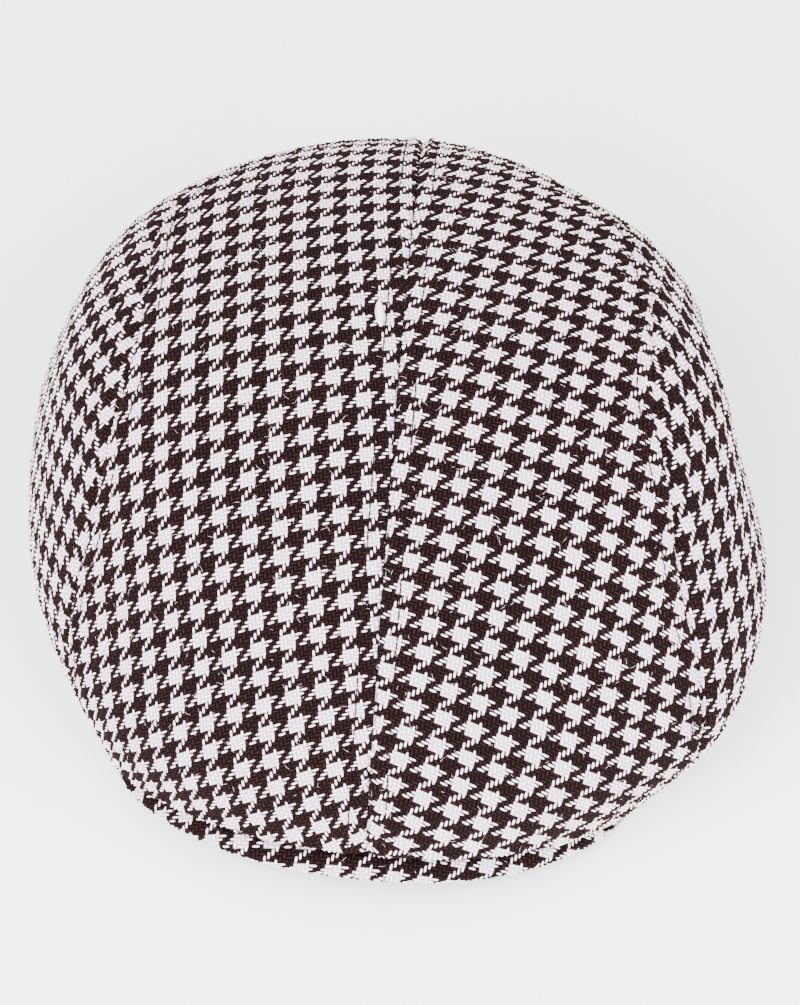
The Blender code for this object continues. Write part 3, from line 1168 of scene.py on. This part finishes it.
# %% Stitches
# A stitch or part of a thread is left out where it would lie further off the cloth than this many threads
STITCH_MISS = 0.5
HEM_THREAD_MISS = 1.0
STITCH_PITCH = 3.1 * MM
STITCH_SHARES = (0.0, 0.2, 0.5, 0.8, 1.0)
STITCH_HEIGHTS = np.array((-0.40, 0.08, 0.16, 0.08, -0.40)) * MM
STITCH_LENGTH = 3.0 * MM
STITCH_HALF_WIDTH = 0.20 * MM
STITCH_TINTS = 0.4
SEWN = [(node, other) for node in TOP_PANELS for other in TOP_PANELS + SIDE_PANELS if other in borders[node]]
SEWN += [(SIDE_PANELS[0], SIDE_PANELS[1]), (SIDE_PANELS[1], SIDE_PANELS[0])]
for node, other in SEWN:
    line = beside_seam(node, other, STITCH_LINE)
    starts = np.arange(0.0, walk(line)[-1] - STITCH_PITCH, STITCH_PITCH)
    places = along_line(line, starts[:, None] + np.array(STITCH_SHARES) * STITCH_LENGTH)
    numbers = thread_numbers(node, places.reshape(-1, 2)).reshape(places.shape)
    points, normals, miss = on_cloth(cloths[node], numbers)
    kept = miss.max(axis=1) < STITCH_MISS
    points, normals = points[kept], normals[kept]
    points = points + normals * STITCH_HEIGHTS[:, None]
    rings = tubes(points, normals, STITCH_HALF_WIDTH)
    count = len(points)
    strand_piece(node + "_stitches_" + other.replace("_panel", ""), rings,
                 len(STITCH_SHARES), np.ones(count), generator.random(count) * STITCH_TINTS)

# %% The pale thread on the front hem
HEM_THREAD_AWAY = 0.9 * MM
HEM_THREAD_HALF_WIDTH = 0.26 * MM
HEM_THREAD_STEP = 1.5 * MM
HEM_THREAD_FROM = 52.0 * MM
HEM_THREAD_TO = 80.0 * MM
HEM_THREAD_LIFT = 0.18 * MM
HEM_THREAD_SPREAD = 0.10 * MM
HEM_THREAD_WIDTHS = (0.7, 1.3)
flat = flats["top_panel_right"]
hem = {v for edge in borders["top_panel_right"]["hem"] for v in edge}
hem = sorted((v for v in hem if flat[v, 0] > HEM_THREAD_FROM and flat[v, 1] < HEM_THREAD_TO),
             key=lambda v: flat[v, 0])
hem_line = flat[hem] + (0.0, HEM_THREAD_AWAY)
places = along_line(hem_line, np.arange(0.0, walk(hem_line)[-1], HEM_THREAD_STEP))
points, normals, miss = on_cloth(cloths["top_panel_right"], thread_numbers("top_panel_right", places)[None])
kept = miss[0] < HEM_THREAD_MISS
points, normals = points[:, kept], normals[:, kept]
count = int(kept.sum())
lift = generator.normal(0.0, HEM_THREAD_SPREAD, count) + HEM_THREAD_LIFT
points = points + normals * lift[None, :, None]
thick = HEM_THREAD_HALF_WIDTH * generator.uniform(*HEM_THREAD_WIDTHS, count)
strand_piece("top_panel_right_hem_thread", tubes(points, normals, thick), count, np.zeros(1), np.ones(1))

# %% [markdown]
# ## Loose fibres
#
# Wool is never shaved clean. Thousands of short pale and brown fibres stand off the cloth, which softens its
# outline, and one thick place in a pale thread shows as a smooth slub beside the centre seam.

# %% Fibres
FIBRES = {"top_panel_right": 700, "top_panel_left": 700, "side_panel_right": 500, "side_panel_left": 500,
          "peak": 300}
FIBRE_TRIES = 3
FIBRE_BEND = 0.5
FIBRE_LENGTHS = (0.7, 2.2)
FIBRE_LIFTS = (0.15, 0.60)
FIBRE_ARC = 2.4
FIBRE_REST = 0.05 * MM
BROWN_FIBRES = 0.35
FIBRE_TINTS = 0.6
FIBRE_HALF_WIDTH = np.array((0.034, 0.030, 0.022, 0.008)) * MM
FIBRE_SHARES = np.array((0.0, 0.33, 0.67, 1.0))


def fibres_on(cloth, count, generator):
    """Short bent fibres at random places of a cloth."""
    low, high = cloth.weave.min(axis=0), cloth.weave.max(axis=0)
    numbers = low + generator.random((count * FIBRE_TRIES, 2)) * (high - low)
    points, normals, miss = on_cloth(cloth, numbers)
    inside = np.flatnonzero(miss < ON_CLOTH)[:count]
    points, normals = points[inside], normals[inside]
    count = len(points)
    way = generator.normal(0.0, 1.0, (count, 3))
    way = unit_rows(way - normals * (way * normals).sum(axis=1, keepdims=True))
    bend = np.cross(normals, way) * generator.normal(0.0, FIBRE_BEND, (count, 1))
    length = generator.uniform(*FIBRE_LENGTHS, (count, 1, 1)) * MM
    lift = generator.uniform(*FIBRE_LIFTS, (count, 1, 1)) * MM
    share = FIBRE_SHARES[None, :, None]
    path = points[:, None] + way[:, None] * share * length + bend[:, None] * share ** 2 * length
    path = path + normals[:, None] * (lift * np.sin(share * FIBRE_ARC) + FIBRE_REST)
    return tubes(path, np.repeat(normals[:, None], len(FIBRE_SHARES), axis=1), FIBRE_HALF_WIDTH)


for node, count in FIBRES.items():
    rings = fibres_on(cloths[node], count, generator)
    count = len(rings) // (len(FIBRE_SHARES) * RING)
    dark = generator.random(count) < BROWN_FIBRES
    strand_piece(node + "_fibres", rings, len(FIBRE_SHARES), dark, generator.random(count) * FIBRE_TINTS)

# %% The slub
SLUB_FROM = np.array((-6.6, 175.5)) * MM
SLUB_TO = np.array((-4.6, 166.5)) * MM
SLUB_SHARES = np.linspace(0.0, 1.0, 9)
SLUB_HALF_WIDTH = 1.4 * MM
SLUB_HEIGHT = 0.10 * MM
SLUB_FLATNESS = 0.45
SLUB_BLUNTNESS = 0.7
SLUB_ENDS = 0.04
places = SLUB_FROM + SLUB_SHARES[:, None] * (SLUB_TO - SLUB_FROM)
points, normals, _ = on_cloth(cloths["top_panel_left"], thread_numbers("top_panel_left", places)[None])
swell = np.sin(np.pi * (SLUB_ENDS + (1.0 - 2.0 * SLUB_ENDS) * SLUB_SHARES)) ** SLUB_BLUNTNESS
points = points + normals * (swell * SLUB_HEIGHT)[None, :, None]
rings = tubes(points, normals, swell * SLUB_HALF_WIDTH, SLUB_FLATNESS)
strand_piece("slub", rings, len(SLUB_SHARES), np.zeros(1), np.zeros(1))


def flat_area(node):
    corners = flats[node][triangles_of(skin_meshes[node])]
    return float(np.abs(np.linalg.det(corners[:, 1:] - corners[:, :1])).sum() / 2)


for node, skin in skins.items():
    area = flat_area(node)
    [node + kind for kind in ("_warp", "_weft")]

# %% [markdown]
# ## Floor
#
# A plain pale floor, large enough to fill the picture.

# %% Floor
FLOOR_SIZE = 6.0
FLOOR_WHITE = (0.93, 0.93, 0.93, 1.0)
FLOOR_ROUGHNESS = 0.8
bpy.ops.mesh.primitive_plane_add(size=FLOOR_SIZE, location=(0.0, 0.0, 0.0))
floor = bpy.context.object
floor.name = "floor"
floor_material, floor_shader, _ = new_material("pale_floor")
floor_shader.inputs["Base Color"].default_value = FLOOR_WHITE
floor_shader.inputs["Roughness"].default_value = FLOOR_ROUGHNESS
floor.data.materials.append(floor_material)
print("floor", FLOOR_SIZE, "m wide")
